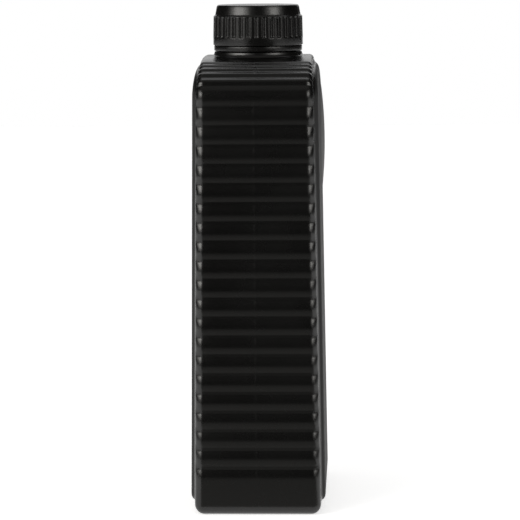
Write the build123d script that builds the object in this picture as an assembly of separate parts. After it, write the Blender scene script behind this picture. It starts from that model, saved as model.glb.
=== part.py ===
from build123d import *
from math import atan2, cos, degrees, hypot, pi, sin
import os

# Motor oil bottle of one litre: a blown bottle with ribbed narrow sides, a fluted screw cap
# with its sealing disc, and the tamper band that the cap leaves on the neck.
# Millimetres. X is the bottle's width, Y its depth and +Z up. The origin is the middle of
# the foot, and the front label panel faces -Y.

# ---- Blown body ----
wall = 1.0                       # thickness of the blown wall
half_width = 52.0                # middle to the crests of the side ribs
depth_at_foot = 30.6             # middle to the plain wide wall, at the foot
depth_at_shoulder = 27.9         # the same, where the wide walls begin to lean in
depth_at_crest = 27.0            # the same, at the crest of the shoulder
corner_radius = 4.0              # upright corners
crest_radius = 2.0               # the same corners where they end at the crest
foot_round = 5.0                 # edge round the foot
foot_corner = 3.0                # corners of the flat under the foot, and of its pushed-up middle

# ---- Shoulder: a superellipse seen from the front ----
shoulder_start = 200.0           # height where the narrow sides begin to curve in
shoulder_rise = 19.3             # from there to the crest
shoulder_power = 2.6             # 2 is an ellipse, and more is squarer
lean_delay = 3.0                 # from the shoulder's start to where the wide walls lean in
crest = shoulder_start + shoulder_rise
lean_start = shoulder_start + lean_delay

# ---- Ribs across the narrow sides ----
rib_depth = 1.4
rib_count = 20                   # grooves on the upright stretch
first_groove = 23.3              # height of the lowest groove
last_groove_drop = 2.85          # from the shoulder's start down to the highest upright groove
crest_share = 0.4                # share of a pitch from a groove up to the ridge above it
rib_pitch = (shoulder_start - last_groove_drop - first_groove) / (rib_count - 1)
shoulder_rib_depth = 1.0
shoulder_rib_pitch = 5.3         # measured along the curve
shoulder_rib_count = 5
shoulder_first_ridge = 1.2       # along the curve from the start of the shoulder
shoulder_first_groove = 8.2      # the same, to the first groove
plain_crest_run = 24.0           # plain curve above the last shoulder rib

# ---- Label panels, one on each wide wall ----
panel_rise = 2.2                 # how proud a panel stands
panel_border = 8.0               # plain border at each side of a panel
panel_foot = 5.4                 # height of its lower edge
panel_drop = 3.8                 # from the crest of the shoulder down to its upper edge
panel_corner = 4.0               # lower corners of the panel

# ---- Plain round medallion on the front panel ----
medallion_radius = 31.0
medallion_rise = 2.2
medallion_drop = 39.3            # from the crest of the shoulder down to its middle
medallion_height = crest - medallion_drop

# ---- Foot: the middle is pushed up, so that the bottle stands on a flat ring ----
ring_width = 6.0
push_up = 2.0

# ---- Neck, collar and the screw thread shared with the cap ----
neck_radius = 18.7               # outside, under the thread
neck_wall = 1.9
collar_rise = 2.7                # how far the collar stands out from the neck
collar_height = 2.0              # above the crest of the shoulder
collar_flare = 3.2               # concave round from the collar's top down onto the shoulder
band_bead = 1.6                  # how far the bead that holds the tamper band stands out
band_bead_height = 1.0
thread_pitch = 4.2
thread_turns = 1.5
thread_depth = 1.1
thread_foot = 2.0                # width of the thread where it leaves the wall
thread_crest = 1.0
thread_lead = 4.0                # from the foot of the cap up to the neck thread's lower end

# ---- Clearances ----
fit_gap = 0.3                    # between curved faces that move past one another
seal_gap = 0.05                  # between the disc and the land of the neck
band_seat_gap = 0.45             # from the collar up to the tamper band
tear_gap = 0.4                   # between the tamper band and the cap, where the bridges parted
disc_side_gap = 0.4              # between the disc and the cap's wall
overlap = 0.4                    # how far a joined shape runs into the one that carries it

# ---- Tamper band ----
band_height = 2.35
band_wall = 1.0
band_hook = 0.9                  # height of the inward hook under the bead
band_foot = crest + collar_height + band_seat_gap
band_top = band_foot + band_height

# ---- Cap and its sealing disc ----
cap_height = 19.5
cap_roof = 1.5
cap_wall = 1.9                   # at the plain band round the cap's foot
cap_band = 3.9                   # height of that band
grip_height = 10.0
grip_lean = 0.25                 # how far the grip leans in over its height
cap_step = 0.85                  # step in above the grip
cap_taper = 0.9                  # from the step in to the top
cap_edge_round = 0.8
flute_count = 36
flute_depth = 0.5
flute_radius = 1.2
disc_thickness = 0.95
cap_foot = band_top + tear_gap
cap_top = cap_foot + cap_height
cap_bore = neck_radius + thread_depth + fit_gap
cap_radius = cap_bore + cap_wall
grip_foot = cap_foot + cap_band
grip_top = grip_foot + grip_height
neck_top = cap_top - cap_roof - disc_thickness - seal_gap
thread_start = cap_foot + thread_lead


# Middle to the plain wide wall at a height: straight up to lean_start, then leaning in.
def wide_wall(height):
    if height <= lean_start:
        share = height / lean_start
        return depth_at_foot + share * (depth_at_shoulder - depth_at_foot)
    share = (height - lean_start) / (crest - lean_start)
    return depth_at_shoulder + share * (depth_at_crest - depth_at_shoulder)


# A point of the shoulder's superellipse, moved inwards along its normal.
def shoulder_point(angle, inwards):
    x = half_width * cos(angle) ** (2 / shoulder_power)
    rise = shoulder_rise * sin(angle) ** (2 / shoulder_power)
    slope_x = (x / half_width) ** (shoulder_power - 1) / half_width
    slope_z = (rise / shoulder_rise) ** (shoulder_power - 1) / shoulder_rise
    length = hypot(slope_x, slope_z)
    return x - inwards * slope_x / length, shoulder_start + rise - inwards * slope_z / length


# The angle at which the shoulder's curve has run a given distance from its start.
def shoulder_angle(distance):
    steps = 4000
    before = shoulder_point(0, 0)
    run = 0
    for step in range(1, steps):
        angle = pi / 2 * step / steps
        here = shoulder_point(angle, 0)
        run += hypot(here[0] - before[0], here[1] - before[1])
        if run >= distance:
            return angle
        before = here
    raise ValueError("the shoulder is shorter than its ribs")


# One level section of the body: a rectangle with round corners.
def level(x, y, corner, height):
    return Pos(0, 0, height) * RectangleRounded(2 * x, 2 * y, corner)


# Sections of the rounded edge of the foot.
def foot_levels(inset):
    levels = []
    steps = 4
    reach = foot_round - inset
    for step in range(steps):
        angle = pi / 2 * step / steps
        x = half_width - foot_round + reach * sin(angle)
        y = wide_wall(foot_round) - foot_round + reach * sin(angle)
        corner = max(corner_radius - foot_round + reach * sin(angle), foot_corner)
        levels.append(level(x, y, corner, foot_round - reach * cos(angle)))
    levels.append(level(half_width - inset, wide_wall(foot_round) - inset, corner_radius - inset, foot_round))
    return levels


# Sections of the upright ribs: a crest below the lowest groove, then groove and crest in turn.
def rib_levels(inset):
    heights = [(first_groove - (1 - crest_share) * rib_pitch, 0)]
    for rib in range(rib_count):
        groove = first_groove + rib * rib_pitch
        heights.append((groove, rib_depth))
        if rib < rib_count - 1:
            heights.append((groove + crest_share * rib_pitch, 0))
    return [
        level(half_width - depth - inset, wide_wall(height) - inset, corner_radius - inset, height)
        for height, depth in heights
    ]


# Sections of the shoulder: its ribs, then the plain crest. The corners grow sharper on the way up.
def shoulder_levels(inset):
    stations = [(shoulder_first_ridge, 0)]
    for share in (0.35, 0.7):
        run = shoulder_first_ridge + share * (shoulder_first_groove - shoulder_first_ridge)
        stations.append((run, share * shoulder_rib_depth))
    for rib in range(shoulder_rib_count):
        groove = shoulder_first_groove + rib * shoulder_rib_pitch
        stations.append((groove, shoulder_rib_depth))
        stations.append((groove + crest_share * shoulder_rib_pitch, 0))
    last = stations[-1][0]
    steps = 4
    for step in range(1, steps + 1):
        stations.append((last + plain_crest_run * step / steps, 0))
    levels = []
    for run, depth in stations:
        angle = shoulder_angle(run)
        x, height = shoulder_point(angle, inset + depth)
        share = angle / (pi / 2)
        corner = corner_radius + share * (crest_radius - corner_radius)
        levels.append(level(x, wide_wall(height) - inset, max(corner - inset, crest_radius / 2), height))
    return levels


# A label panel's slab, from side to side of the bottle: seen from the front it keeps inside
# the shoulder by panel_drop, and seen from the side it stands panel_rise proud of both walls.
def panels(inset):
    reach = half_width - panel_border - inset
    top = crest - panel_drop - inset
    bend = shoulder_start
    squeeze = reach / half_width
    outline = [(reach, bend)]
    steps = 8
    for step in range(1, steps):
        angle = pi / 2 * step / steps
        x, height = shoulder_point(angle, 0)
        outline.append((x * squeeze, bend + (height - bend) * (top - bend) / shoulder_rise))
    curve = Spline(outline + [(0, top)], tangents=[(0, 1), (-1, 0)])
    lower = panel_foot + inset
    corner = panel_corner - inset
    foot = Line((0, lower), (reach - corner, lower))
    bottom_corner = RadiusArc((reach - corner, lower), (reach, lower + corner), -corner)
    side = Line((reach, lower + corner), (reach, bend))
    middle = Line((0, top), (0, lower))
    half = make_face([foot, bottom_corner, side, curve, middle])
    front = Plane.XZ * (half + mirror(half, Plane.YZ))
    slab = extrude(front, depth_at_foot + 2 * panel_rise, both=True)
    heights = (lower - overlap, lean_start, top + overlap)
    right = [(wide_wall(height) + panel_rise - inset, height) for height in heights]
    left = [(-y, height) for y, height in reversed(right)]
    side_view = Plane.YZ * make_face(Polyline(*right, *left, close=True))
    return slab & extrude(side_view, reach, both=True)


# The shallow plain dome on the front panel.
def medallion(inset):
    face = wide_wall(medallion_height) + panel_rise
    ball = (medallion_radius ** 2 + medallion_rise ** 2) / (2 * medallion_rise)
    centre = -(face + medallion_rise - ball)
    dome = Pos(0, centre, medallion_height) * Sphere(ball - inset)
    height = 2 * medallion_rise + panel_rise
    disc = Cylinder(medallion_radius - inset, height)
    return dome & (Pos(0, -face, medallion_height) * Rot(90, 0, 0) * disc)


# The body up to the crest of the shoulder, moved inwards by an inset: 0 gives the outside of
# the blown wall and the wall's thickness gives the inside.
def body_form(inset):
    body = loft(foot_levels(inset) + rib_levels(inset) + shoulder_levels(inset), ruled=True)
    return body + panels(inset) + medallion(inset)


# The pushed-up middle of the foot, as a solid from below the foot up to its raised face.
def push_up_form(grow):
    x = half_width - foot_round - ring_width + grow
    y = wide_wall(0) - foot_round - ring_width + grow
    corner = foot_corner + grow
    low = level(x + push_up / 2, y + push_up / 2, corner + push_up / 2, -overlap)
    return loft([low, level(x - push_up, y - push_up, corner, push_up + grow)], ruled=True)


# A screw thread's ridge on a cylinder: outward on the neck, inward in the cap.
def thread(radius, start, outward):
    side = 1 if outward else -1
    length = thread_turns * thread_pitch
    path = Pos(0, 0, start) * Helix(thread_pitch, length, radius)
    foot = thread_foot / 2
    crest = thread_crest / 2
    root = radius - side * overlap
    tip = radius + side * thread_depth
    corners = [(root, -foot), (radius, -foot), (tip, -crest), (tip, crest), (radius, foot), (root, foot)]
    profile = Pos(0, 0, start) * (Plane.XZ * make_face(Polyline(*corners, close=True)))
    return sweep(profile, path=path, is_frenet=True)


# Outside of the neck as a turned form: collar with its flare, bead for the tamper band, land.
def neck_form():
    collar_radius = neck_radius + collar_rise
    collar_top = crest + collar_height
    root = collar_top - collar_flare
    below = root - collar_flare
    bead_foot = band_foot + band_hook + fit_gap
    bead_radius = neck_radius + band_bead
    lines = [
        Line((0, below), (collar_radius + collar_flare, below)),
        Line((collar_radius + collar_flare, below), (collar_radius + collar_flare, root)),
        RadiusArc((collar_radius + collar_flare, root), (collar_radius, collar_top), collar_flare),
        Polyline(
            (collar_radius, collar_top),
            (neck_radius, collar_top),
            (neck_radius, bead_foot),
            (bead_radius, bead_foot),
            (neck_radius, bead_foot + band_bead_height),
            (neck_radius, neck_top),
            (0, neck_top),
            (0, below),
        ),
    ]
    return revolve(Plane.XZ * make_face(lines), Axis.Z)


def bottle():
    outside = body_form(0) + neck_form() + thread(neck_radius, thread_start, True)
    inside = body_form(wall) - push_up_form(wall)
    bore_foot = crest - 2 * wall - overlap
    bore_height = neck_top + overlap - bore_foot
    bore = Pos(0, 0, bore_foot) * Cylinder(
        neck_radius - neck_wall, bore_height, align=(Align.CENTER, Align.CENTER, Align.MIN)
    )
    return outside - inside - bore - push_up_form(0)


# The cap at rest. Its thread lies midway between the turns of the neck's thread.
def screw_cap():
    grip_radius = cap_radius - grip_lean
    step_radius = grip_radius - cap_step
    shape = Polyline(
        (0, cap_foot),
        (cap_radius, cap_foot),
        (cap_radius, grip_foot),
        (grip_radius, grip_top),
        (step_radius, grip_top + cap_step),
        (step_radius - cap_taper, cap_top),
        (0, cap_top),
        close=True,
    )
    skirt = revolve(Plane.XZ * make_face(shape), Axis.Z)
    skirt = fillet(skirt.edges().group_by(Axis.Z)[-1], cap_edge_round)
    standing = (Align.CENTER, Align.CENTER, Align.MIN)
    hollow = Pos(0, 0, cap_foot) * Cylinder(cap_bore, cap_height - cap_roof, align=standing)
    lean = degrees(atan2(grip_lean, grip_height))
    flute = Rot(0, -lean, 0) * Cylinder(flute_radius, grip_height, align=standing)
    centre = cap_radius + flute_radius - flute_depth
    flutes = [Pos(0, 0, grip_foot) * place * flute for place in PolarLocations(centre, flute_count)]
    body = skirt - hollow - flutes
    return body + Pos(0, 0, thread_pitch / 2) * thread(cap_bore, thread_start, False)


def cap_liner():
    standing = (Align.CENTER, Align.CENTER, Align.MIN)
    return Pos(0, 0, neck_top + seal_gap) * Cylinder(cap_bore - disc_side_gap, disc_thickness, align=standing)


# The band left on the neck: a ring with an inward hook that catches under the neck's bead.
def tamper_band():
    inner = neck_radius + band_bead + fit_gap
    hook = neck_radius + fit_gap
    outer = inner + band_wall
    shape = Polyline(
        (hook, band_foot),
        (outer, band_foot),
        (outer, band_top),
        (inner, band_top),
        (inner, band_foot + band_hook),
        (hook, band_foot + band_hook),
        close=True,
    )
    return revolve(Plane.XZ * make_face(shape), Axis.Z)


os.makedirs("parts", exist_ok=True)
export_step(bottle(), "parts/bottle.step")
export_step(screw_cap(), "parts/screw_cap.step")
export_step(cap_liner(), "parts/cap_liner.step")
export_step(tamper_band(), "parts/tamper_band.step")
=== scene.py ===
import math

import bmesh
import bpy
import numpy as np
from mathutils import Matrix, Vector


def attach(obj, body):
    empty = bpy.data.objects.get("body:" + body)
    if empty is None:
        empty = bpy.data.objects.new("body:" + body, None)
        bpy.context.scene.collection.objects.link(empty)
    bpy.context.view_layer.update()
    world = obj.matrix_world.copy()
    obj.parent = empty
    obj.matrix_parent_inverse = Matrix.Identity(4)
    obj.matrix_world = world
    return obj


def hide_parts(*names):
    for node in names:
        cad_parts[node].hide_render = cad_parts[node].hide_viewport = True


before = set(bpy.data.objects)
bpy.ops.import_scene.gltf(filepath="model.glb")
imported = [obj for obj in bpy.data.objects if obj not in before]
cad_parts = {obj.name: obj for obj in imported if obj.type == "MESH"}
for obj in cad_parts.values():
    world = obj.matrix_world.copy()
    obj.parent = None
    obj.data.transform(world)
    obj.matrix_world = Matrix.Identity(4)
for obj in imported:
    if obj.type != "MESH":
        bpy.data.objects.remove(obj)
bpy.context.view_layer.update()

mm = 0.001          # shapes are worked out in millimetres and written in metres
quarterTurn = math.pi / 2


# Smooth step: 0 below low, 1 above high, 3t^2 - 2t^3 between.
def smoothStep(value, low, high):
    t = np.clip((value - low) / (high - low), 0, 1)
    return t * t * (3 - 2 * t)


# Smooth maximum of two surfaces, (a + b + root((a - b)^2 + k^2)) / 2.
def smoothMax(a, b, k):
    return (a + b + np.sqrt((a - b) ** 2 + k * k)) / 2


# Quads of a grid of points, each (row, col), (row, col + 1), (row + 1, col + 1), (row + 1, col);
# wrap joins the last column to the first.
def gridFaces(rows, cols, wrap=False):
    row = np.arange(rows - 1)[:, None]
    col = np.arange(cols if wrap else cols - 1)[None, :]
    first = row * cols + col
    second = row * cols + (col + 1) % cols
    return np.stack([first, second, second + cols, first + cols], axis=-1).reshape(-1, 4)


# A mesh being gathered from grids of points.
class Gather:
    def __init__(self):
        self.points = []
        self.faces = []
        self.count = 0

    def add(self, grid, keep=None, wrap=False):
        rows, cols = grid.shape[:2]
        faces = gridFaces(rows, cols, wrap)
        if keep is not None:
            faces = faces[keep.reshape(-1)]
        self.points.append(grid.reshape(-1, 3))
        self.faces.append(faces + self.count)
        self.count += rows * cols

    # Merges what meets, points the faces outwards and makes the object.
    def build(self, name, node, body, material):
        mesh = bpy.data.meshes.new(name)
        mesh.from_pydata(np.concatenate(self.points) * mm, [], np.concatenate(self.faces))
        work = bmesh.new()
        work.from_mesh(mesh)
        bmesh.ops.remove_doubles(work, verts=work.verts, dist=2e-6)
        bmesh.ops.recalc_face_normals(work, faces=work.faces)
        work.to_mesh(mesh)
        work.free()
        mesh.validate()
        mesh.shade_smooth()
        mesh.materials.append(material)
        piece = bpy.data.objects.new(name, mesh)
        bpy.context.scene.collection.objects.link(piece)
        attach(piece, body)
        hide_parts(node)
        print("built", name, len(mesh.polygons), "faces")
        return piece


# A turned form: each (radius, height) of the profile run round a list of angles, as
# (r cos a, r sin a, h).
def turned(profile, angles):
    profile = np.asarray(profile, float)
    radius = profile[:, 0][:, None]
    height = profile[:, 1][:, None] * np.ones_like(angles)[None, :]
    return np.stack([radius * np.cos(angles), radius * np.sin(angles), height], axis=-1)


# Part of a circle in a profile, from one angle to another: centre + radius (cos a, sin a).
def arc(centreR, centreZ, radius, start, end, steps=6):
    angle = np.radians(np.linspace(start, end, steps))
    return [(centreR + radius * math.cos(a), centreZ + radius * math.sin(a)) for a in angle]


# The thread that the neck and the cap share: lengths in mm, runOut as a share of its length.
thread = {
    "start": 228.5, "pitch": 4.2, "turns": 1.5, "depth": 1.1, "foot": 2.0, "crest": 1.0,
    "sunk": 0.4, "bevel": 0.1, "runOut": 0.07, "steps": 150,
}


# A screw ridge: a bevelled trapezoid carried round a helix, angle = 2 pi turns s and height =
# start + pitch turns s for s from 0 to 1. It grows out of the wall at each end, where it closes to
# a point, and its root is sunk into the wall. Side is 1 outwards and -1 inwards.
def screwRidge(radius, start, side):
    foot, crest, depth, sunk = thread["foot"] / 2, thread["crest"] / 2, thread["depth"], thread["sunk"]
    bevel = thread["bevel"]
    half = [
        (-sunk, foot), (0, foot), (0.25, foot * 0.93),
        (depth - bevel * 1.2, crest + bevel), (depth, crest - bevel),
    ]
    section = np.array([(d, -w) for d, w in half] + half[::-1])
    along = np.linspace(0, 1, thread["steps"])
    ramp = smoothStep(np.minimum(along, 1 - along), 0.0, thread["runOut"])
    out = np.where(section[:, 0] > 0, section[:, 0] * ramp[:, None], section[:, 0])
    out[[0, -1]] = -sunk
    rise = section[:, 1] * (ramp > 0)[:, None]
    angle = (along * thread["turns"] * 2 * math.pi)[:, None] * np.ones_like(out)
    reach = radius + side * out
    height = start + thread["pitch"] * thread["turns"] * along[:, None] + rise
    return np.stack([reach * np.cos(angle), reach * np.sin(angle), height], axis=-1)


# Adds a shader node and sets its inputs by name.
def node(tree, kind, **inputs):
    made = tree.nodes.new(kind)
    for name, value in inputs.items():
        made.inputs[name.replace("_", " ")].default_value = value
    return made


# Moulded plastic: a colour and a gloss that drift a little, fine grain in the surface, and edges
# that are rubbed slightly paler.
def plastic(name, look):
    material = bpy.data.materials.new(name)
    material.use_nodes = True
    tree = material.node_tree
    link = tree.links.new
    shader = tree.nodes["Principled BSDF"]
    shader.inputs["IOR"].default_value = look["ior"]
    place = node(tree, "ShaderNodeTexCoord")
    cloud = node(tree, "ShaderNodeTexNoise", Scale=look["cloudScale"], Detail=3.0)
    link(place.outputs["Object"], cloud.inputs["Vector"])
    tint = node(tree, "ShaderNodeMapRange", To_Min=look["dark"], To_Max=look["light"])
    link(cloud.outputs["Fac"], tint.inputs["Value"])
    gloss = node(tree, "ShaderNodeMapRange", From_Min=0.3, From_Max=0.7)
    gloss.inputs["To Min"].default_value = look["roughness"] - look["roughDrift"]
    gloss.inputs["To Max"].default_value = look["roughness"] + look["roughDrift"]
    link(cloud.outputs["Fac"], gloss.inputs["Value"])
    rough = gloss.outputs["Result"]
    if "panelRough" in look:
        rough = mattPanels(tree, place, rough, look)
    link(rough, shader.inputs["Roughness"])
    shape = node(tree, "ShaderNodeNewGeometry")
    edge = node(tree, "ShaderNodeMapRange", From_Min=0.52, From_Max=0.62, To_Max=look["wear"])
    link(shape.outputs["Pointiness"], edge.inputs["Value"])
    lift = node(tree, "ShaderNodeMath")
    lift.operation = "ADD"
    link(tint.outputs["Result"], lift.inputs[0])
    link(edge.outputs["Result"], lift.inputs[1])
    colour = node(tree, "ShaderNodeCombineColor")
    for channel, share in zip(("Red", "Green", "Blue"), look["hue"]):
        scaled = node(tree, "ShaderNodeMath")
        scaled.operation = "MULTIPLY"
        scaled.inputs[1].default_value = share
        link(lift.outputs[0], scaled.inputs[0])
        link(scaled.outputs[0], colour.inputs[channel])
    link(colour.outputs[0], shader.inputs["Base Color"])
    grain = node(tree, "ShaderNodeTexNoise", Scale=look["grainScale"], Detail=2.0)
    link(place.outputs["Object"], grain.inputs["Vector"])
    wave = node(tree, "ShaderNodeTexNoise", Scale=look["waveScale"], Detail=1.0)
    link(place.outputs["Object"], wave.inputs["Vector"])
    fine = node(tree, "ShaderNodeBump", Strength=look["grain"], Distance=0.0001)
    link(grain.outputs["Fac"], fine.inputs["Height"])
    broad = node(tree, "ShaderNodeBump", Strength=look["wave"], Distance=0.001)
    link(wave.outputs["Fac"], broad.inputs["Height"])
    link(fine.outputs["Normal"], broad.inputs["Normal"])
    link(broad.outputs["Normal"], shader.inputs["Normal"])
    return material


# Roughness over the label panels: they stand out past |y| + lean z = face, and are matt there. The
# medallion stands out past its own face and is less matt.
def mattPanels(tree, place, rough, look):
    link = tree.links.new
    parts = node(tree, "ShaderNodeSeparateXYZ")
    link(place.outputs["Object"], parts.inputs[0])
    away = node(tree, "ShaderNodeMath")
    away.operation = "ABSOLUTE"
    link(parts.outputs["Y"], away.inputs[0])
    lean = node(tree, "ShaderNodeMath")
    lean.operation = "MULTIPLY_ADD"
    lean.inputs[1].default_value = look["panelLean"]
    link(parts.outputs["Z"], lean.inputs[0])
    link(away.outputs[0], lean.inputs[2])
    face = look["panelFace"]
    mask = node(tree, "ShaderNodeMapRange", From_Min=face, From_Max=face + look["panelBlend"])
    link(lean.outputs[0], mask.inputs["Value"])
    proud = look["medalFace"]
    matt = node(tree, "ShaderNodeMapRange", From_Min=proud, From_Max=proud + look["medalBlend"])
    matt.inputs["To Min"].default_value = look["panelRough"]
    matt.inputs["To Max"].default_value = look["medalRough"]
    link(lean.outputs[0], matt.inputs["Value"])
    blend = node(tree, "ShaderNodeMix")
    link(mask.outputs["Result"], blend.inputs["Factor"])
    link(rough, blend.inputs["A"])
    link(matt.outputs["Result"], blend.inputs["B"])
    return blend.outputs["Result"]


bottlePlastic = plastic("bottlePlastic", {
    "ior": 1.5, "cloudScale": 35.0, "dark": 0.0013, "light": 0.0023, "hue": (1.0, 0.98, 0.92),
    "roughness": 0.27, "roughDrift": 0.025, "wear": 0.0012,
    "panelLean": 0.0133, "panelFace": 0.0309, "panelBlend": 0.001, "panelRough": 0.62,
    "medalFace": 0.0332, "medalBlend": 0.0006, "medalRough": 0.5,
    "grainScale": 2600.0, "grain": 0.25, "waveScale": 55.0, "wave": 0.05,
})
capPlastic = plastic("capPlastic", {
    "ior": 1.49, "cloudScale": 60.0, "dark": 0.0018, "light": 0.003, "hue": (1.0, 0.98, 0.93),
    "roughness": 0.26, "roughDrift": 0.04, "wear": 0.003,
    "grainScale": 3200.0, "grain": 0.3, "waveScale": 90.0, "wave": 0.04,
})
linerFoam = plastic("linerFoam", {
    "ior": 1.45, "cloudScale": 120.0, "dark": 0.7, "light": 0.78, "hue": (1.0, 0.99, 0.96),
    "roughness": 0.7, "roughDrift": 0.05, "wear": 0.0,
    "grainScale": 2200.0, "grain": 0.8, "waveScale": 200.0, "wave": 0.1,
})
print("materials made")


body = {
    "halfWidth": 52.0, "depthFoot": 30.6, "depthShoulder": 27.9, "depthCrest": 27.0,
    "leanStart": 203.0, "start": 200.0, "rise": 19.3, "power": 2.6,
    "corner": 4.0, "crestCorner": 2.0, "footRound": 5.0, "footCorner": 1.0,
    "pushUp": 2.0, "pushInset": 13.2, "pushSlope": 2.2,
    "ribDepth": 1.4, "ribs": 20, "firstGroove": 23.3, "lastGroove": 197.15, "crestShare": 0.4,
    "shoulderRibDepth": 1.0, "shoulderRibPitch": 5.3, "shoulderRibs": 5,
    "shoulderRidge": 1.2, "shoulderGroove": 8.2, "ribRound": 0.4, "bow": 1.8,
    "panelHalf": 44.0, "panelFoot": 5.4, "panelTop": 215.5, "panelCorner": 4.0,
    "panelRise": 2.15, "panelEdge": 3.2,
    "medalRadius": 31.0, "medalRise": 2.15, "medalHeight": 180.0, "medalEdge": 0.12,
    "seam": 0.07, "shoulderSeam": 0.2, "seamChange": 14.0, "seamScale": 24.0,
    "neckHole": 28.0, "wall": 1.0, "shoulderRows": 0.72,
}
crest = body["start"] + body["rise"]
ribPitch = (body["lastGroove"] - body["firstGroove"]) / (body["ribs"] - 1)

neck = {
    "radius": 18.7, "bore": 16.8, "collar": 21.4, "collarTop": 221.3, "flare": 3.2,
    "beadFoot": 222.95, "bead": 20.3, "beadHeight": 1.0, "top": 241.5,
    "collarEdge": 0.3, "lipRound": 0.5, "boreRound": 0.4, "flareBlend": 0.25,
}


# Middle to the plain wide wall: two straight runs, leaning in above the shoulder's start.
def wideWall(height):
    return np.interp(
        height, (0, body["leanStart"], crest),
        (body["depthFoot"], body["depthShoulder"], body["depthCrest"]),
    )


# Height of the shoulder over a distance x from the middle: start + rise (1 - (x/w)^p)^(1/p).
def domeHeight(x):
    share = np.clip(np.abs(x) / body["halfWidth"], 0, 1) ** body["power"]
    return body["start"] + body["rise"] * (1 - share) ** (1 / body["power"])


# How far the rib surface lies inside the outline at a distance along it. From a groove up to its
# ridge and from there to the next groove the depth goes as (distance from the ridge / run)^bow,
# which makes full rounded ribs between narrow grooves; a short average rounds the grooves.
def ribDepth(along):
    share, pitch, topPitch = body["crestShare"], ribPitch, body["shoulderRibPitch"]
    grooves = list(body["firstGroove"] + pitch * np.arange(body["ribs"]))
    ridges = [body["firstGroove"] - (1 - share) * pitch]
    ridges += [g + share * pitch for g in grooves[:-1]]
    ridges.append(body["start"] + body["shoulderRidge"])
    upper = list(body["start"] + body["shoulderGroove"] + topPitch * np.arange(body["shoulderRibs"]))
    ridges += [g + share * topPitch for g in upper]
    grooves = np.array(grooves + upper)
    ridges = np.array(ridges)
    deep = np.where(grooves < body["start"], body["ribDepth"], body["shoulderRibDepth"])

    def depthAt(at):
        above = np.clip(np.searchsorted(ridges, at), 1, len(ridges) - 1)
        low, high, groove = ridges[above - 1], ridges[above], grooves[above - 1]
        run = np.where(at < groove, (at - low) / (groove - low), (high - at) / (high - groove))
        inside = (at > ridges[0]) & (at < ridges[-1])
        return np.where(inside, deep[above - 1] * np.clip(run, 0, 1) ** body["bow"], 0)

    offsets = np.linspace(-body["ribRound"], body["ribRound"], 7)
    return np.mean([depthAt(along + o) for o in offsets], axis=0)


# Marks the rows under the foot, whose distance along the outline counts for nothing.
underFoot = -20


# Rows of the skin from the middle of the foot up to the crest. Each has a point of the outline,
# its outward normal, the half depth, the corner's radius and its distance along the outline.
# Under the foot a row is given by its inset: a pushed-up middle, the flat it stands on and a
# quarter-round. The shoulder goes as x = w cos(a)^(2/p), z = start + rise sin(a)^(2/p).
def skinRows(fine):
    low = body["footRound"]
    middle = wideWall(low)
    flat = np.array([middle, 27, 22, 17, 14, 13.4, 13, 12.5, 12, 11.5, 11, 10.6, 9, 7, 5.6])
    turn = np.radians(np.linspace(0, 82, 7))
    inset = np.concatenate([flat, low - low * np.sin(turn)])
    height = np.concatenate([
        body["pushUp"] * (1 - smoothStep(body["pushInset"] - flat, 0, body["pushSlope"])),
        low - low * np.cos(turn),
    ])
    depth = middle - inset
    corner = np.minimum(np.maximum(body["corner"] - inset, body["footCorner"]), depth)
    rows = [np.stack([
        body["halfWidth"] - inset, height, np.ones_like(inset), np.zeros_like(inset),
        depth, corner, np.full_like(inset, underFoot),
    ], axis=1)]
    clear = body["panelFoot"] + body["panelCorner"]
    upright = np.concatenate([
        np.linspace(low, clear, 20), np.arange(clear + 0.6, body["start"], ribPitch / fine),
    ])
    ones = np.ones_like(upright)
    rows.append(np.stack([
        ones * body["halfWidth"], upright, ones, ones * 0, wideWall(upright),
        ones * body["corner"], upright,
    ], axis=1))
    angle = np.linspace(0, quarterTurn, 8001)
    x = body["halfWidth"] * np.cos(angle) ** (2 / body["power"])
    z = body["start"] + body["rise"] * np.sin(angle) ** (2 / body["power"])
    x[-1] = 0
    run = np.concatenate([[0], np.cumsum(np.hypot(np.diff(x), np.diff(z)))])
    count = int(run[-1] / (ribPitch / fine * body["shoulderRows"]))
    at = np.linspace(0, run[-1], count)
    x = np.interp(at, run, x)
    z = np.interp(at, run, z)
    angle = np.interp(at, run, angle)
    slopeX = (x / body["halfWidth"]) ** (body["power"] - 1) / body["halfWidth"]
    slopeZ = ((z - body["start"]) / body["rise"]) ** (body["power"] - 1) / body["rise"]
    length = np.hypot(slopeX, slopeZ)
    corner = np.interp(angle, (0, quarterTurn), (body["corner"], body["crestCorner"]))
    rows.append(np.stack([
        x, z, slopeX / length, slopeZ / length, wideWall(z), corner, body["start"] + at,
    ], axis=1))
    return np.concatenate(rows)


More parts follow.
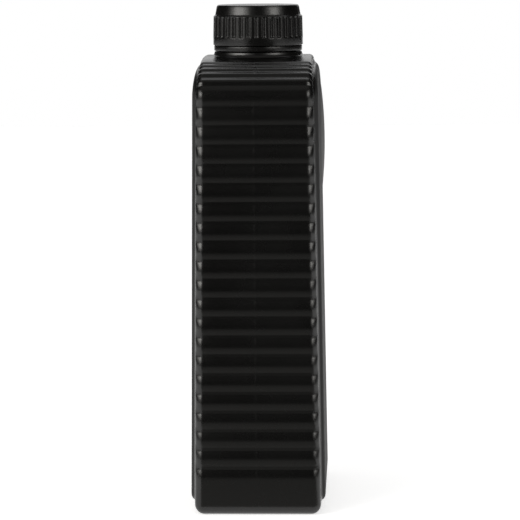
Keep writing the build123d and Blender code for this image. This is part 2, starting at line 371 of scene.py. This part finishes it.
# Distance inside the panel's outline, positive inside: measured to a fine polyline of a curve
# squeezed from the shoulder's own, straight sides, round lower corners and a level foot.
def panelInside(x, z):
    half, low, corner = body["panelHalf"], body["panelFoot"], body["panelCorner"]
    rise = body["panelTop"] - body["start"]
    angle = np.linspace(0, quarterTurn, 240)
    upX = half * np.cos(angle) ** (2 / body["power"])
    upZ = body["start"] + rise * np.sin(angle) ** (2 / body["power"])
    turn = np.linspace(-quarterTurn, 0, 30)
    lineX = np.concatenate([
        np.linspace(0, half - corner, 60), half - corner + corner * np.cos(turn),
        np.full(260, half), upX,
    ])
    lineZ = np.concatenate([
        np.full(60, low), low + corner + corner * np.sin(turn),
        np.linspace(low + corner, body["start"], 260), upZ,
    ])
    flatX, flatZ = x.reshape(-1), z.reshape(-1)
    near = np.full(flatX.shape, 1e9)
    for a in range(len(lineX) - 1):
        stepX, stepZ = lineX[a + 1] - lineX[a], lineZ[a + 1] - lineZ[a]
        length = stepX ** 2 + stepZ ** 2
        if length < 1e-12:
            continue
        t = np.clip(((flatX - lineX[a]) * stepX + (flatZ - lineZ[a]) * stepZ) / length, 0, 1)
        gap = (flatX - lineX[a] - t * stepX) ** 2 + (flatZ - lineZ[a] - t * stepZ) ** 2
        near = np.minimum(near, gap)
    above = np.clip((flatZ - body["start"]) / rise, 0, 2)
    under = (flatX / half) ** body["power"] + above ** body["power"] < 1
    inside = (flatZ > low) & (flatX < half) & under
    pastX, pastZ = flatX - (half - corner), low + corner - flatZ
    inside &= ~((pastX > 0) & (pastZ > 0) & (np.hypot(pastX, pastZ) > corner))
    return (np.where(inside, 1, -1) * np.sqrt(near)).reshape(x.shape)


# How far the wide face stands out: a quarter-round step up to the panel, rise root(1 - (1 - t)^2)
# with t the distance inside over the edge's width, and on the front a shallow dome with a soft
# rim, height (1 - (r / radius)^2).
def wideRise(x, z, front):
    step = np.clip(panelInside(x, z) / body["panelEdge"], 0, 1)
    rise = body["panelRise"] * np.sqrt(1 - (1 - step) ** 2)
    if front:
        out = np.hypot(x, z - body["medalHeight"]) / body["medalRadius"]
        dome = body["medalRise"] * (1 - out ** 2)
        soft = body["medalEdge"]
        rise = rise + np.where(out < 1, smoothMax(dome, 0, soft) - soft / 2, 0)
    return rise


# Columns of the ribbed flat, as shares of its half width: close together at the mould seam.
flatShares = np.concatenate([[0, 0.014, 0.032], np.linspace(0.06, 1, 6)])
flatCols = len(flatShares)


# One quarter of the skin: the ribbed flat, the corner, then the wide face in to its middle line.
# Inside the outline the flat lies by ribs - seam, and the corner by ribs fading out plus
# radius (1 - cos turn). Inset moves the whole skin in by a wall.
def skinQuarter(rows, front, inset, fine):
    outX, outZ, normX, normZ, depth, corner, along = rows.T[:, :, None]
    share = flatShares[None, :]
    seamHigh = along > body["start"] + body["seamChange"]
    seam = np.where(seamHigh, body["shoulderSeam"], body["seam"]) * (along > 0)
    seamOut = seam * (1 - smoothStep(share * body["seamScale"], 0.15, 0.7))
    ribs = ribDepth(along)
    flatY = share * (depth - corner)
    flatQ = np.maximum(ribs - seamOut, 0) + inset
    turn = np.linspace(0, quarterTurn, 13 if fine else 6)[None, 1:]
    fade = 1 - smoothStep(turn, math.radians(30), math.radians(88))
    cornerY = depth - corner + (corner - inset) * np.sin(turn)
    cornerQ = ribs * fade + corner * (1 - np.cos(turn)) + inset * np.cos(turn)
    q = np.concatenate([flatQ, cornerQ], axis=1)
    px = outX - normX * q
    pz = outZ - normZ * q
    py = np.concatenate([flatY, cornerY], axis=1)
    # the wide face runs from the corner's end to a pole in the middle of the medallion, or to the
    # middle line below it
    startX = px[:, -1:]
    startZ = pz[:, -1:]
    aimZ = np.minimum(outZ, body["medalHeight"])
    reach = np.hypot(startX, startZ - aimZ)
    edge = [0.1, 0.25, 0.5, 0.8, 1.2, 1.7, 2.3, 3.0, 3.8, 5.0] if fine else [1.5, 3.5]
    steps = (24 if front else 8) if fine else 5
    lead = np.maximum(panelLead(startX, startZ, aimZ, reach), 0.02)
    near = np.concatenate([lead * 0.5, lead + np.array(edge)], axis=1) / np.maximum(reach, 1e-6)
    near = np.minimum(near, 0.4)
    rest = near[:, -1:] + (1 - near[:, -1:]) * np.linspace(0, 1, steps + 1)[1:]
    t = np.concatenate([near, rest], axis=1)
    # front and back meet on the middle line of the foot, and share eight steps along it
    t[0] = np.round(t[0] * 8) / 8
    wideX = startX * (1 - t)
    wideZ = startZ * (1 - t) + aimZ * t
    rise = np.where(along > 0, wideRise(wideX, wideZ, front), 0)
    wall = depth
    if fine:
        wall = np.where(along > body["medalHeight"], wideWall(wideZ), depth)
    wideY = wall - inset + rise
    px = np.concatenate([px, wideX], axis=1)
    pz = np.concatenate([pz, wideZ], axis=1)
    py = np.concatenate([py, wideY], axis=1)
    px[:, -1] = 0
    return np.stack([px, py, pz], axis=-1)


# Distance from the corner's end to the panel's outline, along the line to the aim. Rows below the
# panel take the lowest crossing row's, so that the columns don't jump at the panel's foot.
def panelLead(startX, startZ, aimZ, reach):
    t = np.linspace(0, 0.3, 61)[None, :]
    inside = panelInside(startX * (1 - t), startZ * (1 - t) + aimZ * t) > 0
    first = np.argmax(inside, axis=1)[:, None]
    lead = np.take_along_axis(t, first, axis=1) * reach
    crossing = inside.any(axis=1)
    return np.where(crossing[:, None], lead, lead[np.argmax(crossing)])


# Radii and heights of the neck from the collar's edge up over the bead and the lip and down the
# bore: straight walls, with quarter circles at the collar, the bead, the lip and the bore.
def neckProfile():
    r, bore, top, foot = neck["radius"], neck["bore"], neck["top"], neck["beadFoot"]
    collar, collarTop, bead = neck["collar"], neck["collarTop"], neck["bead"]
    edge, lip, mouth = neck["collarEdge"], neck["lipRound"], neck["boreRound"]
    profile = [(collar, collarTop - edge)]
    profile += arc(collar - edge, collarTop - edge, edge, 20, 90, 4)
    profile += arc(r + 0.5, collarTop + 0.5, 0.5, 270, 180, 5)
    profile += [(r, foot - 0.25)] + arc(r + 0.2, foot - 0.2, 0.2, 180, 90, 3)
    profile += arc(bead - 0.15, foot + 0.15, 0.15, 270, 400, 5)
    profile += [(r + 0.5, foot + neck["beadHeight"] - 0.2), (r + 0.1, foot + 1.1), (r, foot + 1.4)]
    profile += [(r, h) for h in np.linspace(foot + 3, top - 0.6, 6)]
    profile += arc(r - lip, top - lip, lip, 0, 90, 5)
    profile += arc(bore + mouth, top - mouth, mouth, 90, 180, 5)
    profile += [(bore, h) for h in np.linspace(top - 3, crest + 0.4, 8)]
    profile += arc(bore + 0.5, crest - 0.1, 0.5, 180, 235, 4)
    return profile


# Rows kept for the inner skin: a few under the foot, a few up the walls and all round the neck.
def innerPick(count, hole):
    return np.concatenate([
        np.arange(0, 22, 3), np.arange(22, 30, 4), np.arange(30, hole - 60, 10),
        np.arange(hole - 60, hole, 6), np.arange(hole, count),
    ])


# The same skin one wall further in, lifted by the wall under the foot and closed on the middle.
def innerQuarter(rows, front):
    grid = skinQuarter(rows, front, body["wall"], False)
    low = rows[:, 6] < 0
    grid[low, :, 2] += body["wall"]
    grid[low, :, 0] = np.maximum(grid[low, :, 0], 0)
    grid[0, :, 1] = 0
    return grid


# Rings from the skin's hole to the neck, over it and down its bore to the inner skin's hole. The
# shoulder blends into a circle, then the flare rises as a quarter circle from radius rim to
# radius collar, joined to the dome by a smooth maximum.
def neckRings(outerLoop, innerLoop):
    angle = np.arctan2(outerLoop[:, 1], outerLoop[:, 0])
    angle[[0, -1]] = 0, quarterTurn
    across, along = np.cos(angle), np.sin(angle)
    rim = neck["collar"] + neck["flare"]
    top = neck["collarTop"]
    rings = [outerLoop]
    for t in (0.35, 0.7):
        x = outerLoop[:, 0] * (1 - t) + rim * across * t
        y = outerLoop[:, 1] * (1 - t) + rim * along * t
        rings.append(np.stack([x, y, domeHeight(x)], axis=-1))
    for bend in np.radians(np.linspace(0, 84, 14)):
        r = rim - neck["flare"] * math.sin(bend)
        height = smoothMax(domeHeight(r * across), top - neck["flare"] * math.cos(bend), neck["flareBlend"])
        height = np.minimum(height, top - neck["collarEdge"] - 0.05)
        rings.append(np.stack([r * across, r * along, height], axis=-1))
    rings += list(turned(neckProfile(), angle))
    last = rings[-1]
    for t in (0.25, 0.5, 0.75):
        x = last[:, 0] * (1 - t) + innerLoop[:, 0] * t
        y = last[:, 1] * (1 - t) + innerLoop[:, 1] * t
        rings.append(np.stack([x, y, domeHeight(x) - body["wall"]], axis=-1))
    return np.array(rings + [innerLoop])


# The skin, quarter by quarter, with the neck let into its top and the same skin again one wall
# further in. The flat's columns stop at the neck's hole, whose edge is a loop of points.
def buildBottle():
    mesh = Gather()
    outerRows = skinRows(10)
    hole = int(np.argmax((outerRows[:, 0] < body["neckHole"]) & (outerRows[:, 1] > body["start"])))
    pick = innerPick(len(outerRows), hole)
    for front in (True, False):
        outer = skinQuarter(outerRows, front, 0, True)
        inner = innerQuarter(outerRows[pick], front)
        loops = []
        for grid, first in ((outer, hole), (inner, int(np.argmax(pick == hole)))):
            keep = np.ones((grid.shape[0] - 1, grid.shape[1] - 1), bool)
            keep[first:, :flatCols - 1] = False
            loops.append(np.concatenate([grid[first, :flatCols], grid[first + 1:, flatCols - 1]]))
            for sideX in (1, -1):
                mesh.add(flip(grid, sideX, front), keep)
        rings = neckRings(*loops)
        for sideX in (1, -1):
            mesh.add(flip(rings, sideX, front))
    mesh.add(screwRidge(neck["radius"], thread["start"], 1), wrap=True)
    return mesh.build("bottle_shell", "bottle", "bottle_body", bottlePlastic)


# Mirrors a quarter into its place: sideX for left or right, and the front lies towards -Y.
def flip(grid, sideX, front):
    made = grid.copy()
    made[..., 0] *= sideX
    made[..., 1] *= -1 if front else 1
    made[..., 0][np.abs(made[..., 0]) < 1e-9] = 0
    return made


bottleShell = buildBottle()


cap = {
    "foot": 224.5, "top": 244.0, "radius": 22.0, "bore": 20.1, "roof": 1.5, "gripFoot": 228.4,
    "gripTop": 238.4, "lean": 0.25, "step": 0.85, "taper": 0.9, "edge": 0.8,
    "flutes": 36, "fluteDepth": 0.5, "fluteRadius": 1.2,
}


# Radius of the fluted grip: the leaning cone, cut by a small cylinder at each flute, whose wall
# lies at centre cos(offset) - root(R^2 - (centre sin(offset))^2).
def fluted(radius, height, offset):
    centre = cap["radius"] + cap["fluteRadius"] - cap["fluteDepth"]
    share = (height - cap["gripFoot"]) / (cap["gripTop"] - cap["gripFoot"])
    centre = centre - cap["lean"] * share
    side = centre * np.sin(offset)
    cut = centre * np.cos(offset) - np.sqrt(np.maximum(cap["fluteRadius"] ** 2 - side ** 2, 0))
    cut = np.where(np.abs(side) < cap["fluteRadius"], cut, 99)
    return np.minimum(radius, cut)


# The cap: a profile turned round its axis, cut by the flutes, and the bore with its thread.
def buildCap():
    mesh = Gather()
    edgeAngles = np.radians([-2.62, -2.45, -2.1, -1.5, -0.7, 0, 0.7, 1.5, 2.1, 2.45, 2.62, 5])
    angles = (np.arange(cap["flutes"])[:, None] * 2 * math.pi / cap["flutes"] + edgeAngles).reshape(-1)
    offsets = np.tile(edgeAngles, cap["flutes"])
    foot, top, radius = cap["foot"], cap["top"], cap["radius"]
    gripFoot, gripTop = cap["gripFoot"], cap["gripTop"]
    gripRadius = radius - cap["lean"]
    stepRadius = gripRadius - cap["step"]
    topRadius = stepRadius - cap["taper"]
    stepTop = gripTop + cap["step"]
    profile = [(cap["bore"], foot + 0.3), (cap["bore"] + 0.25, foot), (radius - 0.3, foot)]
    profile += arc(radius - 0.12, foot + 0.12, 0.12, 290, 360, 4)
    profile += [(radius, gripFoot - 0.6), (radius, gripFoot - 0.03)]
    plainRows = len(profile)
    grip = gripTop - gripFoot
    profile += [(radius - cap["lean"] * s, gripFoot + grip * s) for s in np.linspace(0.004, 0.985, 14)]
    fluteRows = len(profile)
    profile += [(gripRadius, gripTop + 0.02), (gripRadius - 0.1, gripTop + 0.14)]
    profile += [(stepRadius + 0.12, stepTop - 0.1), (stepRadius, stepTop + 0.08)]
    for s in (0.03, 0.3, 0.6, 0.78):
        profile.append((stepRadius - cap["taper"] * s, stepTop + (top - stepTop) * s))
    profile += arc(topRadius - cap["edge"] + 0.06, top - cap["edge"], cap["edge"], 8, 90, 8)
    profile += [(s * (topRadius - cap["edge"]), top) for s in (0.9, 0.6, 0.3, 0)]
    grid = turned(profile, angles)
    for row in range(plainRows, fluteRows):
        reach = fluted(profile[row][0], profile[row][1], offsets)
        grid[row, :, 0] = reach * np.cos(angles)
        grid[row, :, 1] = reach * np.sin(angles)
    roof = top - cap["roof"]
    inside = [(0, roof), (10, roof), (19.4, roof)] + arc(cap["bore"] - 0.4, roof - 0.4, 0.4, 80, 0, 4)
    inside += [(cap["bore"], h) for h in np.linspace(roof - 3, foot + 0.3, 6)]
    mesh.add(grid, wrap=True)
    mesh.add(turned(inside, angles), wrap=True)
    mesh.add(screwRidge(cap["bore"], thread["start"] + thread["pitch"] / 2, -1), wrap=True)
    return mesh.build("screw_cap_shell", "screw_cap", "cap_body", capPlastic)


band = {
    "outer": 21.6, "inner": 20.6, "hook": 19.0, "foot": 221.75, "top": 224.1, "hookTop": 222.65,
    "sides": 144,
}


# The ring left on the neck: a plain wall with an inward hook at its foot, turned round the axis.
def buildBand():
    outer, inner, hook = band["outer"], band["inner"], band["hook"]
    low, high, hookTop = band["foot"], band["top"], band["hookTop"]
    profile = [(hook, low + 0.15), (hook + 0.15, low)]
    profile += arc(outer - 0.2, low + 0.2, 0.2, 270, 360, 4)
    profile += arc(outer - 0.1, high - 0.1, 0.1, 0, 90, 4)
    profile += [(inner + 0.1, high), (inner, high - 0.1), (inner, hookTop + 0.1), (inner - 0.1, hookTop)]
    profile += [(hook + 0.12, hookTop), (hook, hookTop - 0.12), (hook, low + 0.15)]
    mesh = Gather()
    mesh.add(turned(profile, np.linspace(0, 2 * math.pi, band["sides"] + 1)[:-1]), wrap=True)
    return mesh.build("tamper_ring", "tamper_band", "bottle_body", capPlastic)


liner = {"radius": 19.7, "foot": 241.55, "top": 242.5, "press": 0.06, "sides": 120}


# The sealing disc: flat, with its rim rounded, and a shallow ring pressed by the lip.
def buildLiner():
    radius, low, high = liner["radius"], liner["foot"], liner["top"]
    pressed = low + liner["press"]
    profile = [(0, low), (8, low), (16.3, low), (16.8, pressed), (18.4, pressed), (18.9, low)]
    profile += arc(radius - 0.2, low + 0.2, 0.2, 270, 360, 4)
    profile += arc(radius - 0.2, high - 0.2, 0.2, 0, 90, 4) + [(10, high), (0, high)]
    mesh = Gather()
    mesh.add(turned(profile, np.linspace(0, 2 * math.pi, liner["sides"] + 1)[:-1]), wrap=True)
    return mesh.build("sealing_disc", "cap_liner", "liner_body", linerFoam)


screwCap = buildCap()
tamperRing = buildBand()
sealingDisc = buildLiner()


view = {
    "place": (-1.219, -0.0498, 0.2744), "turn": 2.339, "tilt": 7.32, "roll": 0.48, "lens": 171.4,
}


# 1 for the rays of the camera, of reflections and of clear materials, and 0 for all others.
def backgroundFactor(tree):
    path = tree.nodes.new("ShaderNodeLightPath")
    total = path.outputs["Is Camera Ray"]
    for kind in ("Is Glossy Ray", "Is Transmission Ray"):
        pair = tree.nodes.new("ShaderNodeMath")
        pair.operation = "MAXIMUM"
        tree.links.new(total, pair.inputs[0])
        tree.links.new(path.outputs[kind], pair.inputs[1])
        total = pair.outputs[0]
    return total


# A grey world for light, and a white one for the rays that show the background.
def makeWorld():
    world = bpy.data.worlds.new("studio")
    bpy.context.scene.world = world
    world.use_nodes = True
    tree = world.node_tree
    plain = tree.nodes["Background"]
    plain.inputs["Color"].default_value = (0.9, 0.9, 0.9, 1)
    plain.inputs["Strength"].default_value = 0.5
    white = tree.nodes.new("ShaderNodeBackground")
    white.inputs["Color"].default_value = (1, 1, 1, 1)
    mix = tree.nodes.new("ShaderNodeMixShader")
    tree.links.new(backgroundFactor(tree), mix.inputs[0])
    tree.links.new(plain.outputs[0], mix.inputs[1])
    tree.links.new(white.outputs[0], mix.inputs[2])
    tree.links.new(mix.outputs[0], tree.nodes["World Output"].inputs["Surface"])


# A material that gives off plain light.
def glow(name, colour, strength):
    material = bpy.data.materials.new(name)
    material.use_nodes = True
    tree = material.node_tree
    tree.nodes.remove(tree.nodes["Principled BSDF"])
    emit = tree.nodes.new("ShaderNodeEmission")
    emit.inputs["Color"].default_value = (*colour, 1)
    emit.inputs["Strength"].default_value = strength
    tree.links.new(emit.outputs[0], tree.nodes["Material Output"].inputs["Surface"])
    return material


# A flat piece of the stage, which isn't part of the object.
def stagePiece(name, points, faces, material):
    mesh = bpy.data.meshes.new(name)
    mesh.from_pydata(points, [], faces)
    mesh.materials.append(material)
    piece = bpy.data.objects.new(name, mesh)
    bpy.context.scene.collection.objects.link(piece)
    return piece


# A pale floor that takes the shadow, with a lift for the rays that show the background.
def makeFloor():
    material = bpy.data.materials.new("paleFloor")
    material.use_nodes = True
    tree = material.node_tree
    shader = tree.nodes["Principled BSDF"]
    shader.inputs["Base Color"].default_value = (0.86, 0.86, 0.86, 1)
    shader.inputs["Roughness"].default_value = 0.5
    shader.inputs["Specular IOR Level"].default_value = 0.2
    emit = tree.nodes.new("ShaderNodeEmission")
    emit.inputs["Strength"].default_value = 0.55
    both = tree.nodes.new("ShaderNodeAddShader")
    mix = tree.nodes.new("ShaderNodeMixShader")
    tree.links.new(shader.outputs[0], both.inputs[0])
    tree.links.new(emit.outputs[0], both.inputs[1])
    tree.links.new(backgroundFactor(tree), mix.inputs[0])
    tree.links.new(shader.outputs[0], mix.inputs[1])
    tree.links.new(both.outputs[0], mix.inputs[2])
    tree.links.new(mix.outputs[0], tree.nodes["Material Output"].inputs["Surface"])
    half = 2.5
    points = [(-half, -half, 0), (half, -half, 0), (half, half, 0), (-half, half, 0)]
    return stagePiece("floor", points, [(0, 1, 2, 3)], material)


# A grey that fades away from the bottle, in step with x from near to far.
def fadingGlow(name, colour, near, far, bright, dim):
    material = glow(name, colour, 1)
    tree = material.node_tree
    place = node(tree, "ShaderNodeTexCoord")
    parts = node(tree, "ShaderNodeSeparateXYZ")
    tree.links.new(place.outputs["Object"], parts.inputs[0])
    fade = node(tree, "ShaderNodeMapRange", From_Min=far, From_Max=near, To_Min=dim, To_Max=bright)
    tree.links.new(parts.outputs["X"], fade.inputs["Value"])
    tree.links.new(fade.outputs["Result"], tree.nodes["Emission"].inputs["Strength"])
    return material


# Dark studio cards that only reflections see: a curtain round the camera's side, a canopy, a
# wedge of dim table before the bottle and a strip low on the far wall.
def makeCards():
    grey = (1, 0.98, 0.93)
    turn = np.radians(np.linspace(22, 338, 64))
    radius, high = 2.0, 2.6
    ring = np.stack([radius * np.cos(turn), radius * np.sin(turn)], axis=1)
    points = [(x, y, z) for z in (0, high) for x, y in ring]
    faces = [(i, i + 1, i + 1 + len(ring), i + len(ring)) for i in range(len(ring) - 1)]
    cards = [stagePiece("curtain", points, faces, glow("curtainGrey", grey, 0.03))]
    roof = [(-2, -2, high), (0.6, -2, high), (0.6, 2, high), (-2, 2, high)]
    cards.append(stagePiece("canopy", roof, [(0, 1, 2, 3)], glow("canopyGrey", grey, 0.25)))
    near, far, flat = -0.058, -2.0, 0.0005
    left, right = math.tan(math.radians(28)), math.tan(math.radians(46))
    wedge = [
        (far, -far * left, flat), (near, -near * left, flat),
        (near, near * right, flat), (far, far * right, flat),
    ]
    tableGlow = fadingGlow("apronGrey", grey, near, -0.6, 0.36, 0.07)
    cards.append(stagePiece("apron", wedge, [(0, 1, 2, 3)], tableGlow))
    strip = [(1.8, -1.2, 0.2), (1.8, 1.2, 0.2), (1.8, 1.2, 0.36), (1.8, -1.2, 0.36)]
    cards.append(stagePiece("farStrip", strip, [(0, 1, 2, 3)], glow("farGrey", grey, 0.04)))
    for card in cards:
        card.visible_camera = False
        card.visible_diffuse = False
        card.visible_shadow = False
        card.visible_transmission = False


# A soft rectangular lamp aimed at the middle of the bottle.
def softBox(name, azimuth, distance, height, width, tall, power):
    lamp = bpy.data.lights.new(name, "AREA")
    lamp.shape = "RECTANGLE"
    lamp.size = width
    lamp.size_y = tall
    lamp.energy = power
    lamp.color = (1, 0.98, 0.94)
    holder = bpy.data.objects.new(name, lamp)
    angle = math.radians(azimuth)
    holder.location = (-distance * math.cos(angle), distance * math.sin(angle), height)
    aim = Vector((0, 0, 0.13)) - holder.location
    holder.rotation_euler = aim.to_track_quat("-Z", "Y").to_euler()
    bpy.context.scene.collection.objects.link(holder)
    return holder


makeWorld()
makeFloor()
makeCards()
softBox("softBoxLeft", 53, 1.2, 0.62, 1.3, 0.8, 4.4)
softBox("softBoxRight", -48, 1.2, 0.62, 1.0, 0.8, 2.0)
softBox("hotLeft", 50, 1.15, 0.65, 0.7, 0.4, 5.2)
softBox("hotRight", -48, 1.15, 0.65, 0.5, 0.4, 3.0)

camera = bpy.data.cameras.new("camera")
camera.lens = view["lens"]
camera.sensor_width = 36
camera.clip_start = 0.01
cameraHolder = bpy.data.objects.new("camera", camera)
turn, tilt = math.radians(view["turn"]), math.radians(view["tilt"])
forward = Vector((math.cos(turn) * math.cos(tilt), math.sin(turn) * math.cos(tilt), -math.sin(tilt)))
aimed = forward.to_track_quat("-Z", "Y").to_matrix().to_4x4()
rolled = aimed @ Matrix.Rotation(math.radians(-view["roll"]), 4, "Z")
cameraHolder.matrix_world = Matrix.Translation(view["place"]) @ rolled
bpy.context.scene.collection.objects.link(cameraHolder)
bpy.context.scene.camera = cameraHolder
bpy.context.scene.view_settings.view_transform = "Standard"
print("stage set")
